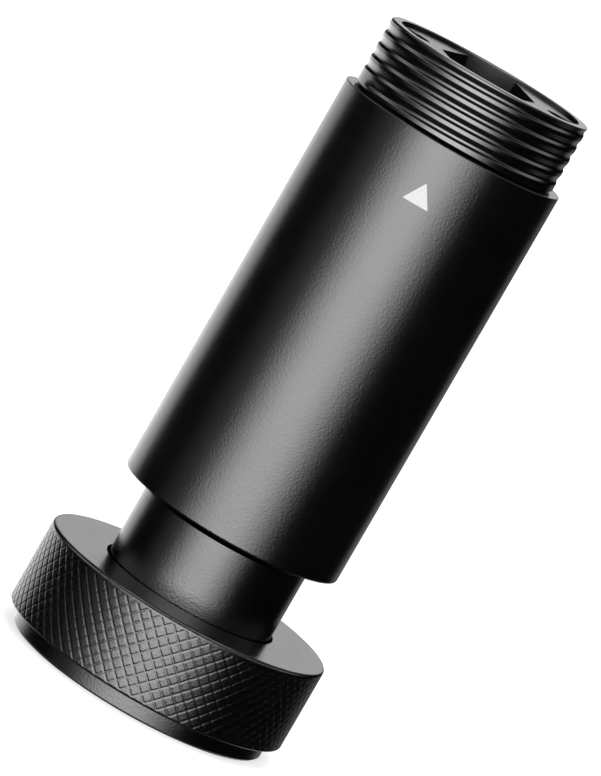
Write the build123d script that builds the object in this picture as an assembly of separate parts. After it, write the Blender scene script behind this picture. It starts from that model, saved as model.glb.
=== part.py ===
from build123d import *
import os
from math import atan2, cos, degrees, radians, sin, tan

# Laser collimator, millimetres. It stands on its battery cover with its axis along +Z:
# battery cover, turning knob, neck, barrel, and a male thread at the top, where the beam leaves.
# The origin is the centre of the cover's flat face. The index triangle faces -Y.

# Heights of the outside, from the bottom up
cover_flange_height = 3.4
cover_to_knob_gap = 0.3
knob_height = 17.0
neck_height = 16.0
barrel_length = 84.0
thread_length = 14.0

# Radii and walls of the outside
thread_radius = 21.0
thread_wall = 2.0
barrel_wall = 3.8
knob_radius = 29.4
knob_wall = 6.4
cover_radius = 26.85
edge_chamfer = 0.4
thread_lead_chamfer = 0.47
thread_relief_depth = 0.7
thread_relief_width = 1.0

# Clearances
turning_clearance = 0.05
seated_clearance = 0.05
screw_clearance = 0.06
loose_clearance = 0.5
free_gap = 0.4

# Cell and its sleeve, which set the stem and the neck
cell_radius = 8.5
cell_length = 34.5
cell_cap_radius = 3.2
cell_cap_height = 1.0
cell_clearance = 0.3
sleeve_wall = 3.0
sleeve_clearance = 0.1
stem_wall = 3.1
neck_shoulder = 2.4
neck_groove_step = 2.4
neck_groove_below_barrel = 1.7
neck_groove_in_barrel = 0.3

# Front insert and exit window
insert_recess = 0.8
insert_height = 9.0
insert_pocket_depth = 5.0
insert_step = 1.0
insert_seal_thickness = 0.5
spanner_hole_radius = 3.0
spanner_hole_depth = 4.5
spanner_hole_edge = 3.3
pocket_land = 2.6
pocket_end_half_width = 4.85
window_radius = 6.0
window_thickness = 1.2
window_seal_thickness = 0.4
window_ring_height = 0.8
window_ring_width = 1.2
window_ring_notch = 1.0
exit_radius = 4.5

# Index triangle, filled flush into the barrel
index_width = 5.3
index_height = 4.4
index_depth = 0.2
index_below_shoulder = 10.5

# Laser module and its two rings
module_radius = 8.0
module_wall = 2.0
module_length = 44.0
module_front_wall = 1.5
module_aperture_radius = 2.5
module_below_insert = 3.0
front_ring_height = 8.0
front_ring_setback = 1.5
pivot_ring_section = 1.2
pivot_groove_width = 2.0
rear_ring_height = 12.0
rear_ring_play = 2.5
rear_ring_from_module_end = 4.0
lens_radius = 4.0
lens_rim = 1.4
lens_crown = 1.2
lens_cell_height = 7.0
lens_cell_setback = 1.7
lens_spring_length = 10.0
lens_spring_wire = 0.6
diode_holder_height = 5.0
diode_base_radius = 2.8
diode_base_height = 1.2
diode_can_radius = 1.95
diode_can_height = 2.3
diode_pin_radius = 0.22
diode_pin_length = 6.0
diode_pin_circle = 1.27
board_thickness = 1.2
driver_board_length = 13.0
driver_board_margin = 1.5
grommet_height = 2.0
lead_radius = 0.6
lead_offset = 2.2
lead_bow = 5.0
lead_straight = 5.0

# Adjusting screws and the spring plunger that they work against
adjuster_radius = 2.0
adjuster_recess = 0.9
adjuster_socket_across = 2.0
adjuster_socket_depth = 2.5
adjuster_point = 0.8
adjuster_angles = (45, 135)
plunger_angle = 270
plunger_radius = 2.1
plunger_back_wall = 1.5
plunger_spring_length = 3.4
plunger_spring_wire = 0.5

# Knob bearing, detent, stop and rotary switch
stem_below_knob = 0.2
journal_height = 8.0
washer_thickness = 0.4
retaining_ring_thickness = 1.0
retaining_ring_depth = 0.8
retaining_ring_stand = 1.4
retaining_ring_above_stem_end = 1.2
hub_wall = 3.4
base_plate_height = 3.5
base_plate_ledge = 4.2
knob_screw_radius = 1.0
knob_screw_head_radius = 1.8
knob_screw_head_height = 1.2
knob_screw_length = 7.0
knob_screw_count = 4
detent_ball_radius = 1.5
detent_travel = 0.3
detent_height = 4.1
detent_angle = 90
detent_boss_gap = 0.35
detent_boss_margin = 1.2
detent_plug_length = 1.6
detent_spring_wire = 0.4
detent_step_deg = 30
knob_travel_deg = 210
stop_pin_radius = 0.8
stop_pin_end_gap = 0.2
stop_pin_stand = 1.8
stop_pin_angle = 330
switch_board_margin = 0.75
switch_board_lift = 2.6
clip_thickness = 0.8
clip_depth = 0.7
clip_stand = 1.2
wiper_block_height = 2.6
wiper_block_half_angle = 28
wiper_spacing = 0.15
wiper_thickness = 0.25
wiper_count = 3
wiper_touch_gap = 0.05
knob_top_wall = 3.0

# Battery cover and contacts
cover_spigot_length = 4.0
cover_cup_wall = 2.4
cover_floor = 3.0
coin_slot_length = 22.0
coin_slot_width = 2.4
coin_slot_depth = 1.4
cover_seal_section = 1.16
insulator_height = 2.0
contact_plate_thickness = 0.5
contact_plate_margin = 1.6
cell_spring_length = 4.1
cell_spring_wire = 0.7
cell_spring_margin = 2.2
positive_contact_radius = 4.0
positive_contact_thickness = 0.5
contact_board_thickness = 1.6
lock_ring_height = 2.0
lock_ring_width = 2.6
neck_above_lock_ring = 1.0
neck_seal_section = 1.2
flex_width = 4.0
flex_thickness = 0.2
flex_landing = 3.0
flex_slot_margin = 0.2

# Heights that follow from the sizes above
knob_low = cover_flange_height + cover_to_knob_gap
knob_high = knob_low + knob_height
barrel_low = knob_high + neck_height
shoulder = barrel_low + barrel_length
rim = shoulder + thread_length
insert_high = rim - insert_recess
insert_low = insert_high - insert_height
insert_seat = insert_low - insert_seal_thickness
pocket_floor = insert_high - insert_pocket_depth
window_seat = pocket_floor - window_ring_height - window_thickness - window_seal_thickness
module_high = insert_low - module_below_insert
module_low = module_high - module_length
front_ring_high = module_high - front_ring_setback
front_ring_low = front_ring_high - front_ring_height
rear_ring_low = module_low + rear_ring_from_module_end
adjuster_level = rear_ring_low + rear_ring_height / 2
lens_cell_high = module_high - module_front_wall - lens_cell_setback
lens_cell_low = lens_cell_high - lens_cell_height
diode_holder_high = lens_cell_low - lens_spring_length
diode_holder_low = diode_holder_high - diode_holder_height
driver_board_high = diode_holder_low - free_gap
driver_board_low = driver_board_high - driver_board_length
stem_low = knob_low + stem_below_knob
neck_low = stem_low + journal_height
hub_high = neck_low - washer_thickness
retaining_ring_low = stem_low + retaining_ring_above_stem_end
retaining_ring_high = retaining_ring_low + retaining_ring_thickness
base_plate_high = knob_low + base_plate_height
detent_level = stem_low + detent_height
switch_board_low = neck_low + switch_board_lift
stop_pin_high = switch_board_low - clip_thickness - stop_pin_end_gap
switch_board_high = switch_board_low + contact_board_thickness
contact_plate_low = cover_floor + insulator_height
cell_low = contact_plate_low + contact_plate_thickness + cell_spring_length
cell_high = cell_low + cell_length
sleeve_low = stem_low + cover_spigot_length + free_gap
contact_board_low = cell_high + positive_contact_thickness
contact_board_high = contact_board_low + contact_board_thickness
lock_ring_high = contact_board_high + lock_ring_height
neck_high = lock_ring_high + neck_above_lock_ring
neck_spigot_low = barrel_low + neck_groove_in_barrel

# Radii that follow
bore_radius = thread_radius - thread_wall
barrel_radius = bore_radius + barrel_wall
inner_bore_radius = bore_radius - insert_step
insert_radius = bore_radius - seated_clearance
ring_radius = inner_bore_radius - seated_clearance
spanner_centre = insert_radius - spanner_hole_edge
pocket_half_width = spanner_centre - spanner_hole_radius - pocket_land
module_bore = module_radius - module_wall
module_fill = module_bore - seated_clearance
sleeve_bore = cell_radius + cell_clearance
sleeve_radius = sleeve_bore + sleeve_wall
stem_bore = sleeve_radius + sleeve_clearance
journal_radius = stem_bore + stem_wall
neck_radius = journal_radius + neck_shoulder
hub_bore = journal_radius + turning_clearance
hub_radius = hub_bore + hub_wall
knob_bore = neck_radius + loose_clearance
cavity_radius = knob_radius - knob_wall
base_plate_radius = cavity_radius + base_plate_ledge
knob_screw_circle = (cavity_radius + base_plate_radius) / 2
stop_pin_circle = (journal_radius + neck_radius) / 2
spigot_radius = stem_bore - screw_clearance
switch_board_radius = cavity_radius - switch_board_margin
detent_boss_reach = cavity_radius - detent_boss_gap
plunger_bore_end = ring_radius - plunger_back_wall


def rod(radius, low, high):
    """An upright cylinder on the axis."""
    return Pos(0, 0, low) * Cylinder(radius, high - low, align=(Align.CENTER, Align.CENTER, Align.MIN))


def tube(outer, inner, low, high):
    """An upright ring on the axis."""
    return rod(outer, low, high) - rod(inner, low - 1, high + 1)


def turned(*outline):
    """A solid turned about the axis from an outline of (radius, height) points."""
    return revolve(Plane.XZ * make_face(Polyline(*outline, close=True)), Axis.Z)


def radial_plane(angle, height, distance=0):
    """A plane that faces outwards at an angle round the axis, its local X level."""
    out = (cos(radians(angle)), sin(radians(angle)))
    origin = (out[0] * distance, out[1] * distance, height)
    return Plane(origin=origin, x_dir=(-out[1], out[0], 0), z_dir=(out[0], out[1], 0))


def radial_rod(radius, inner, outer, angle, height):
    """A level cylinder that points away from the axis, between two distances from it."""
    upright = Cylinder(radius, outer - inner, align=(Align.CENTER, Align.CENTER, Align.MIN))
    return radial_plane(angle, height, inner) * upright


def o_ring(inner, section, height):
    """A round rubber ring of the given inside radius and section diameter."""
    return Pos(0, 0, height) * Torus(inner + section / 2, section / 2)


def around(radius, angle, height=0):
    """A location on a circle about the axis, turned to face outwards."""
    return Rot(0, 0, angle) * Pos(radius, 0, height)


def sector(outer, inner, low, high, start, sweep):
    """Part of a ring, from one angle round by another."""
    profile = Pos((inner + outer) / 2, (low + high) / 2) * Rectangle(outer - inner, high - low)
    return Rot(0, 0, start) * revolve(Plane.XZ * profile, Axis.Z, sweep)


def index_prism():
    """The triangle's outline as a bar through the -Y side of the barrel."""
    middle = shoulder - index_below_shoulder
    top = middle + index_height * 2 / 3
    foot = middle - index_height / 3
    face = make_face(Polyline((-index_width / 2, foot), (index_width / 2, foot), (0, top), close=True))
    return extrude(Plane.XZ * face, barrel_radius + 1)


def barrel():
    relief = thread_radius - thread_relief_depth
    body = turned(
        (bore_radius, barrel_low),
        (barrel_radius - edge_chamfer, barrel_low),
        (barrel_radius, barrel_low + edge_chamfer),
        (barrel_radius, shoulder - edge_chamfer),
        (barrel_radius - edge_chamfer, shoulder),
        (relief, shoulder),
        (relief, shoulder + thread_relief_width),
        (thread_radius, shoulder + thread_relief_width),
        (thread_radius, rim - thread_lead_chamfer),
        (thread_radius - thread_lead_chamfer, rim),
        (bore_radius, rim),
        (bore_radius, insert_seat),
        (inner_bore_radius, insert_seat),
        (inner_bore_radius, neck_high + free_gap),
        (bore_radius, neck_high + free_gap),
    )
    for angle in adjuster_angles:
        body -= radial_rod(adjuster_radius, 0, barrel_radius + 1, angle, adjuster_level)
    skin = tube(barrel_radius + 1, barrel_radius - index_depth, barrel_low, shoulder)
    return body - (index_prism() & skin)


def index_triangle():
    return index_prism() & tube(barrel_radius, barrel_radius - index_depth, barrel_low, shoulder)


def front_insert():
    body = rod(insert_radius, insert_low, insert_high)
    reach = insert_radius + 1
    corners = [
        (pocket_half_width, 0),
        (pocket_end_half_width, insert_radius),
        (pocket_end_half_width, reach),
        (-pocket_end_half_width, reach),
        (-pocket_end_half_width, insert_radius),
        (-pocket_half_width, 0),
        (-pocket_end_half_width, -insert_radius),
        (-pocket_end_half_width, -reach),
        (pocket_end_half_width, -reach),
        (pocket_end_half_width, -insert_radius),
    ]
    outline = make_face(Polyline(*corners, close=True))
    body -= extrude(Pos(0, 0, pocket_floor) * outline, insert_pocket_depth + 1)
    for angle in (0, 180):
        depth = rod(spanner_hole_radius, insert_high - spanner_hole_depth, insert_high + 1)
        body -= around(spanner_centre, angle) * depth
    body -= rod(window_radius + seated_clearance, window_seat, insert_high + 1)
    return body - rod(exit_radius, insert_low - 1, insert_high)


def insert_seal():
    return tube(insert_radius, inner_bore_radius + seated_clearance, insert_seat, insert_low)


def window_seal():
    return tube(window_radius, exit_radius, window_seat, window_seat + window_seal_thickness)


def exit_window():
    low = window_seat + window_seal_thickness
    return rod(window_radius, low, low + window_thickness)


def window_ring():
    low = pocket_floor - window_ring_height
    ring = tube(window_radius, window_radius - window_ring_width, low, pocket_floor)
    notch = Box(2 * window_radius + 1, window_ring_notch, window_ring_height)
    return ring - Pos(0, 0, pocket_floor) * notch


def front_ring():
    groove = module_radius + pivot_ring_section
    middle = (front_ring_low + front_ring_high) / 2
    ring = tube(ring_radius, module_radius + loose_clearance, front_ring_low, front_ring_high)
    return ring - rod(groove, middle - pivot_groove_width / 2, middle + pivot_groove_width / 2)


def pivot_ring():
    return o_ring(module_radius, pivot_ring_section, (front_ring_low + front_ring_high) / 2)


def module_housing():
    body = rod(module_radius, module_low, module_high)
    body -= rod(module_bore, module_low - 1, module_high - module_front_wall)
    return body - rod(module_aperture_radius, module_low, module_high + 1)


def lens_seat():
    """The height at which the lens rests in its cell."""
    return lens_cell_low + lens_cell_height / 2


def lens_cell():
    body = tube(module_fill, lens_radius - 1, lens_cell_low, lens_cell_high)
    return body - rod(lens_radius + seated_clearance, lens_seat(), lens_cell_high + 1)


def collimating_lens():
    ball_radius = (lens_radius**2 + lens_crown**2) / (2 * lens_crown)
    rim_high = lens_seat() + lens_rim
    crown = Pos(0, 0, rim_high + lens_crown - ball_radius) * Sphere(ball_radius)
    return rod(lens_radius, lens_seat(), rim_high + lens_crown) & crown


def lens_spring():
    return tube(module_fill, module_fill - lens_spring_wire, diode_holder_high, lens_cell_low)


def diode_holder():
    body = rod(module_fill, diode_holder_low, diode_holder_high)
    seat = diode_holder_high - diode_can_height - diode_base_height
    body -= rod(diode_can_radius + seated_clearance, seat, diode_holder_high + 1)
    return body - rod(diode_base_radius + seated_clearance, diode_holder_low - 1, seat + diode_base_height)


def diode_pin_angles():
    return (90, 210, 330)


def laser_diode():
    base_low = diode_holder_high - diode_can_height - diode_base_height
    body = rod(diode_base_radius, base_low, base_low + diode_base_height)
    body += rod(diode_can_radius, base_low, diode_holder_high)
    for angle in diode_pin_angles():
        pin = rod(diode_pin_radius, base_low - diode_pin_length, base_low + diode_base_height / 2)
        body += around(diode_pin_circle, angle) * pin
    return body


def driver_board():
    width = 2 * (module_bore - driver_board_margin)
    height = driver_board_length
    middle = (driver_board_low + driver_board_high) / 2
    board = Pos(0, 0, middle) * Box(width, board_thickness, height)
    for angle in diode_pin_angles():
        slot = rod(2 * diode_pin_radius, driver_board_high - diode_pin_length, driver_board_high + 1)
        board -= around(diode_pin_circle, angle) * slot
    return board


def driver_parts():
    middle = (driver_board_low + driver_board_high) / 2
    face = board_thickness / 2
    outwards = (Align.CENTER, Align.MAX, Align.CENTER)
    chip = Pos(0, -face, middle - 1) * Box(4, 1.4, 4, align=outwards)
    coil = Pos(0, face, middle - 2) * Box(3.6, 1.8, 3.6, align=(Align.CENTER, Align.MIN, Align.CENTER))
    capacitor = Pos(2.6, -face, middle - 4.6) * Box(1.6, 0.9, 2.2, align=outwards)
    return Compound(children=[chip, coil, capacitor])


def module_grommet():
    body = rod(module_fill, module_low, module_low + grommet_height)
    for side in (-1, 1):
        hole = rod(lead_radius, module_low - 1, module_low + grommet_height + 1)
        body -= Pos(side * lead_offset, 0, 0) * hole
    return body


def lead(side):
    """One insulated lead, bowed outwards between the contact board and the driver board."""
    near = side * lead_offset
    far = side * lead_bow
    low = contact_board_high
    high = driver_board_low
    bend = lead_straight
    top_bend = module_low - lead_straight
    middle_gap = (top_bend - low - bend) / 4
    points = [
        (near, 0, low),
        (near, 0, low + bend),
        (far, 0, low + bend + middle_gap),
        (far, 0, top_bend - middle_gap),
        (near, 0, top_bend),
        (near, 0, high),
    ]
    half_turn = atan2(abs(far - near), middle_gap) / 2
    radius = 0.45 * min(bend, middle_gap) / tan(half_turn)
    path = FilletPolyline(*points, radius=radius)
    return sweep(Plane(origin=points[0], z_dir=(0, 0, 1)) * Circle(lead_radius), path=path)


def rear_ring():
    low = rear_ring_low
    ring = tube(ring_radius, module_radius + rear_ring_play, low, low + rear_ring_height)
    for angle in adjuster_angles:
        ring -= radial_rod(adjuster_radius, module_radius, ring_radius + 1, angle, adjuster_level)
    bore = plunger_radius + seated_clearance
    return ring - radial_rod(bore, module_radius, plunger_bore_end, plunger_angle, adjuster_level)


def adjuster(angle):
    """A grub screw with a flat point and a hexagon socket."""
    inner = module_radius + seated_clearance
    outer = barrel_radius - adjuster_recess
    body = radial_rod(adjuster_radius - screw_clearance, inner + adjuster_point, outer, angle, adjuster_level)
    body += radial_rod(adjuster_radius - screw_clearance - adjuster_point, inner, outer, angle, adjuster_level)
    hexagon = RegularPolygon(adjuster_socket_across / 2, 6, major_radius=False)
    mouth = radial_plane(angle, adjuster_level, outer - adjuster_socket_depth)
    return body - extrude(mouth * hexagon, adjuster_socket_depth + 1)


def plunger():
    inner = module_radius + seated_clearance
    outer = plunger_bore_end - plunger_spring_length
    return radial_rod(plunger_radius, inner, outer, plunger_angle, adjuster_level)


def plunger_spring():
    inner = plunger_bore_end - plunger_spring_length
    outside = radial_rod(plunger_radius, inner, plunger_bore_end, plunger_angle, adjuster_level)
    hollow = plunger_radius - plunger_spring_wire
    return outside - radial_rod(hollow, inner - 1, plunger_bore_end + 1, plunger_angle, adjuster_level)


def clip_groove(low):
    """The cut that a spring clip of the switch board sits in."""
    return tube(neck_radius + 1, neck_radius - clip_depth, low, low + clip_thickness)


def flex_face():
    """How far from the axis the flat cable's outer face lies, so that its edges stay in the sleeve."""
    return (sleeve_radius**2 - (flex_width / 2) ** 2) ** 0.5


def flex_bar(inner, outer, low, high, width):
    """A bar of the flat cable's path, or of the room for it, between two distances along +X."""
    corner = Pos(inner, 0, low)
    return corner * Box(outer - inner, width, high - low, align=(Align.MIN, Align.CENTER, Align.MIN))


def flex_cable():
    """A flat cable, up the sleeve's groove and out through the neck onto the switch board."""
    inner = flex_face() - flex_thickness
    high = switch_board_high + flex_thickness
    upright = flex_bar(inner, flex_face(), switch_board_high, contact_board_low, flex_width)
    return upright + flex_bar(inner, neck_radius + flex_landing, switch_board_high, high, flex_width)


def neck_tube():
    groove_low = barrel_low - neck_groove_below_barrel
    ring_groove = journal_radius - retaining_ring_depth
    body = turned(
        (stem_bore, stem_low),
        (journal_radius, stem_low),
        (journal_radius, retaining_ring_low),
        (ring_groove, retaining_ring_low),
        (ring_groove, retaining_ring_high),
        (journal_radius, retaining_ring_high),
        (journal_radius, neck_low),
        (neck_radius, neck_low),
        (neck_radius, groove_low),
        (insert_radius - neck_groove_step, groove_low + neck_groove_below_barrel / 2),
        (insert_radius - neck_groove_step, neck_spigot_low),
        (insert_radius, neck_spigot_low),
        (insert_radius, neck_high),
        (stem_bore, neck_high),
    )
    body -= clip_groove(switch_board_low - clip_thickness)
    body -= clip_groove(switch_board_high)
    seal_middle = (neck_spigot_low + neck_high) / 2
    seal_floor = bore_radius - neck_seal_section
    body -= tube(insert_radius + 1, seal_floor, seal_middle - neck_seal_section, seal_middle + neck_seal_section)
    dimple = detent_ball_radius + 2 * seated_clearance
    for turn in range(knob_travel_deg // detent_step_deg + 1):
        angle = detent_angle + turn * detent_step_deg
        depth = journal_radius + detent_ball_radius - detent_travel
        body -= around(depth, angle, detent_level) * Sphere(dimple)
    pin_hole = rod(stop_pin_radius, neck_low - 1, stop_pin_high)
    body -= around(stop_pin_circle, stop_pin_angle) * pin_hole
    slot_low = switch_board_high - flex_slot_margin
    slot_high = switch_board_high + flex_thickness + flex_slot_margin
    return body - flex_bar(sleeve_bore, neck_radius + 1, slot_low, slot_high, flex_width + flex_slot_margin)


def neck_seal():
    return o_ring(bore_radius - neck_seal_section, neck_seal_section, (neck_spigot_low + neck_high) / 2)


def battery_sleeve():
    body = tube(sleeve_radius, sleeve_bore, sleeve_low, contact_board_low)
    inner = flex_face() - flex_thickness - seated_clearance
    groove_width = flex_width + flex_slot_margin
    return body - flex_bar(inner, sleeve_radius + 1, sleeve_low, contact_board_low, groove_width)


def battery_cell():
    return rod(cell_radius, cell_low, cell_high - cell_cap_height) + rod(cell_cap_radius, cell_low, cell_high)


def positive_contact():
    return rod(positive_contact_radius, cell_high, contact_board_low)


def contact_board():
    return rod(sleeve_radius, contact_board_low, contact_board_high)


def lock_ring():
    ring = tube(sleeve_radius, sleeve_radius - lock_ring_width, contact_board_high, lock_ring_high)
    notch = Box(3 * sleeve_radius, 2, 1.2)
    return ring - Pos(0, 0, lock_ring_high) * notch


def switch_board():
    return tube(switch_board_radius, neck_radius + seated_clearance, switch_board_low, switch_board_high)


def board_clips():
    clips = []
    for low in (switch_board_low - clip_thickness, switch_board_high):
        clip = tube(neck_radius + clip_stand, neck_radius - clip_depth, low, low + clip_thickness)
        gap = Box(3 * neck_radius, 2 * flex_width, 2 * clip_thickness, align=(Align.MIN, Align.CENTER, Align.MIN))
        clips.append(clip - Pos(0, 0, low - clip_thickness / 2) * gap)
    return Compound(children=clips)


def thrust_washer():
    ring = tube(neck_radius - seated_clearance, hub_bore, hub_high, neck_low)
    return ring - around(stop_pin_circle, stop_pin_angle) * rod(stop_pin_radius, hub_high - 1, neck_low + 1)


def stop_pin():
    pin = rod(stop_pin_radius, hub_high - stop_pin_stand, stop_pin_high)
    return around(stop_pin_circle, stop_pin_angle) * pin


def retaining_ring():
    ring = tube(
        journal_radius + retaining_ring_stand,
        journal_radius - retaining_ring_depth,
        retaining_ring_low,
        retaining_ring_high,
    )
    gap = Box(3 * journal_radius, 3, 3 * retaining_ring_thickness, align=(Align.MIN, Align.CENTER, Align.CENTER))
    return ring - Pos(0, 0, retaining_ring_low) * gap


def knob_grip():
    body = turned(
        (base_plate_radius, knob_low),
        (knob_radius - edge_chamfer, knob_low),
        (knob_radius, knob_low + edge_chamfer),
        (knob_radius, knob_high - edge_chamfer),
        (knob_radius - edge_chamfer, knob_high),
        (knob_bore, knob_high),
        (knob_bore, knob_high - knob_top_wall),
        (cavity_radius, knob_high - knob_top_wall),
        (cavity_radius, base_plate_high),
        (base_plate_radius, base_plate_high),
    )
    for turn in range(knob_screw_count):
        hole = rod(knob_screw_radius, base_plate_high - 1, knob_low + knob_screw_length + free_gap)
        body -= around(knob_screw_circle, screw_angle(turn)) * hole
    return body


def screw_angle(turn):
    return 45 + turn * 360 / knob_screw_count


def knob_base():
    floor = retaining_ring_high + turning_clearance
    body = rod(base_plate_radius - seated_clearance, knob_low, base_plate_high)
    body += rod(hub_radius, knob_low, hub_high - turning_clearance)
    boss_top = detent_level + detent_ball_radius + detent_boss_margin
    boss = Box(
        detent_boss_reach,
        2 * (detent_ball_radius + detent_boss_margin),
        boss_top - knob_low,
        align=(Align.MIN, Align.CENTER, Align.MIN),
    )
    body += Rot(0, 0, detent_angle) * Pos(0, 0, knob_low) * boss
    body -= rod(hub_bore, knob_low - 1, hub_high + 1)
    body -= rod(journal_radius + retaining_ring_stand + loose_clearance, knob_low - 1, floor)
    body -= radial_rod(detent_ball_radius + screw_clearance, 0, cavity_radius, detent_angle, detent_level)
    for turn in range(knob_screw_count):
        hole = rod(knob_screw_radius + seated_clearance, knob_low - 1, base_plate_high + 1)
        head = rod(knob_screw_head_radius + seated_clearance, knob_low - 1, knob_low + knob_screw_head_height)
        body -= around(knob_screw_circle, screw_angle(turn)) * (hole + head)
    # The stop pin's slot runs backwards from the pin, so that the knob turns forwards by its travel.
    half_pin = degrees(atan2(stop_pin_radius + screw_clearance, stop_pin_circle))
    slot = sector(
        stop_pin_circle + stop_pin_radius + screw_clearance,
        hub_bore - 1,
        hub_high - stop_pin_stand - free_gap,
        hub_high + 1,
        stop_pin_angle - knob_travel_deg - half_pin,
        knob_travel_deg + 2 * half_pin,
    )
    return body - slot


def knob_screws():
    screws = []
    for turn in range(knob_screw_count):
        head = rod(knob_screw_head_radius, knob_low, knob_low + knob_screw_head_height)
        shank = rod(knob_screw_radius, knob_low, knob_low + knob_screw_length)
        hexagon = extrude(
            Pos(0, 0, knob_low) * RegularPolygon(knob_screw_radius * 0.75, 6), knob_screw_head_height * 0.75
        )
        screws.append(around(knob_screw_circle, screw_angle(turn)) * (head + shank - hexagon))
    return Compound(children=screws)


def detent_reach():
    """Distance from the axis to the ball's outer side, as it rides between two dimples."""
    return journal_radius + 2 * detent_ball_radius + turning_clearance


def detent_ball():
    centre = detent_reach() - detent_ball_radius
    return around(centre, detent_angle, detent_level) * Sphere(detent_ball_radius)


def detent_spring():
    outer = detent_boss_reach - detent_plug_length
    outside = radial_rod(detent_ball_radius, detent_reach(), outer, detent_angle, detent_level)
    return outside - radial_rod(detent_ball_radius - detent_spring_wire, 0, outer + 1, detent_angle, detent_level)


def detent_plug():
    outer = detent_boss_reach
    inner = outer - detent_plug_length
    body = radial_rod(detent_ball_radius, inner, outer, detent_angle, detent_level)
    hexagon = RegularPolygon(detent_ball_radius * 0.45, 6)
    socket = radial_plane(detent_angle, detent_level, outer - detent_plug_length * 0.6) * hexagon
    return body - extrude(socket, detent_plug_length)


def wiper_block():
    start = plunger_angle - wiper_block_half_angle
    outer = cavity_radius - free_gap
    return sector(
        outer,
        hub_radius + free_gap,
        base_plate_high,
        base_plate_high + wiper_block_height,
        start,
        2 * wiper_block_half_angle,
    )


def wiper_contacts():
    """Sprung strips that stand on the block and lean round the axis up to the board's underside."""
    low = base_plate_high + wiper_block_height
    high = switch_board_low - wiper_touch_gap
    inner = neck_radius + clip_stand + free_gap
    pitch = (switch_board_radius - inner) / wiper_count
    lean = (high - low) * 0.9
    strips = []
    for turn in range(wiper_count):
        radius = inner + (turn + 0.5) * pitch
        outline = make_face(
            Polyline(
                (-lean, low),
                (wiper_thickness * 2 - lean, low),
                (wiper_thickness * 1.5 + lean / 2, high - wiper_thickness),
                (wiper_thickness * 1.5 + lean, high - wiper_thickness),
                (wiper_thickness * 1.5 + lean, high),
                (lean / 2, high),
                close=True,
            )
        )
        strip = extrude(Plane.YZ * outline, pitch / 2 - wiper_spacing, both=True)
        strips.append(around(radius, plunger_angle) * strip)
    return Compound(children=strips)


def battery_cover():
    seat = stem_low
    seal_room = cover_seal_section + seated_clearance
    seal_middle = (spigot_radius + journal_radius) / 2
    body = turned(
        (0, 0),
        (cover_radius - edge_chamfer, 0),
        (cover_radius, edge_chamfer),
        (cover_radius, cover_flange_height - edge_chamfer),
        (cover_radius - edge_chamfer, cover_flange_height),
        (journal_radius, cover_flange_height),
        (journal_radius, seat),
        (spigot_radius, seat),
        (spigot_radius, seat + cover_spigot_length),
        (spigot_radius - cover_cup_wall, seat + cover_spigot_length),
        (spigot_radius - cover_cup_wall, cover_floor),
        (0, cover_floor),
    )
    body -= tube(seal_middle + seal_room / 2, seal_middle - seal_room / 2, seat - seal_room, seat + 1)
    slot = Box(coin_slot_length, coin_slot_width, coin_slot_depth, align=(Align.CENTER, Align.CENTER, Align.MIN))
    return body - slot


def cover_seal():
    seat = stem_low
    seal_middle = (spigot_radius + journal_radius) / 2
    inner = seal_middle - cover_seal_section / 2
    return o_ring(inner, cover_seal_section, seat - cover_seal_section / 2 - seated_clearance / 2)


def cup_radius():
    return spigot_radius - cover_cup_wall - seated_clearance


def cover_insulator():
    rim_high = contact_plate_low + contact_plate_thickness
    plate = contact_plate_radius() + seated_clearance
    return rod(cup_radius(), cover_floor, rim_high) - rod(plate, contact_plate_low, rim_high + 1)


def contact_plate_radius():
    return cup_radius() - contact_plate_margin


def cover_contact():
    return rod(contact_plate_radius(), contact_plate_low, contact_plate_low + contact_plate_thickness)


def cell_spring():
    outer = cell_radius - cell_spring_margin
    return tube(outer, outer - cell_spring_wire, contact_plate_low + contact_plate_thickness, cell_low)


NODES = {
    "barrel": barrel,
    "index_triangle": index_triangle,
    "front_insert": front_insert,
    "insert_seal": insert_seal,
    "window_seal": window_seal,
    "exit_window": exit_window,
    "window_ring": window_ring,
    "front_ring": front_ring,
    "pivot_ring": pivot_ring,
    "module_housing": module_housing,
    "lens_cell": lens_cell,
    "collimating_lens": collimating_lens,
    "lens_spring": lens_spring,
    "diode_holder": diode_holder,
    "laser_diode": laser_diode,
    "driver_board": driver_board,
    "driver_parts": driver_parts,
    "module_grommet": module_grommet,
    "rear_ring": rear_ring,
    "plunger": plunger,
    "plunger_spring": plunger_spring,
    "neck_tube": neck_tube,
    "neck_seal": neck_seal,
    "battery_sleeve": battery_sleeve,
    "battery_cell": battery_cell,
    "positive_contact": positive_contact,
    "contact_board": contact_board,
    "lock_ring": lock_ring,
    "flex_cable": flex_cable,
    "switch_board": switch_board,
    "board_clips": board_clips,
    "thrust_washer": thrust_washer,
    "stop_pin": stop_pin,
    "retaining_ring": retaining_ring,
    "knob_grip": knob_grip,
    "knob_base": knob_base,
    "knob_screws": knob_screws,
    "detent_ball": detent_ball,
    "detent_spring": detent_spring,
    "detent_plug": detent_plug,
    "wiper_block": wiper_block,
    "wiper_contacts": wiper_contacts,
    "battery_cover": battery_cover,
    "cover_seal": cover_seal,
    "cover_insulator": cover_insulator,
    "cover_contact": cover_contact,
    "cell_spring": cell_spring,
}

os.makedirs("parts", exist_ok=True)
for name, make in NODES.items():
    export_step(make(), f"parts/{name}.step")
for number, angle in enumerate(adjuster_angles, 1):
    export_step(adjuster(angle), f"parts/adjuster_{number}.step")
for name, side in (("negative_lead", -1), ("positive_lead", 1)):
    export_step(lead(side), f"parts/{name}.step")
print("overall height", rim, "barrel radius", barrel_radius, "neck radius", neck_radius)
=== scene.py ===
from math import cos, pi, radians, sin

import bpy
import numpy as np
from mathutils import Matrix, Vector


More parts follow.
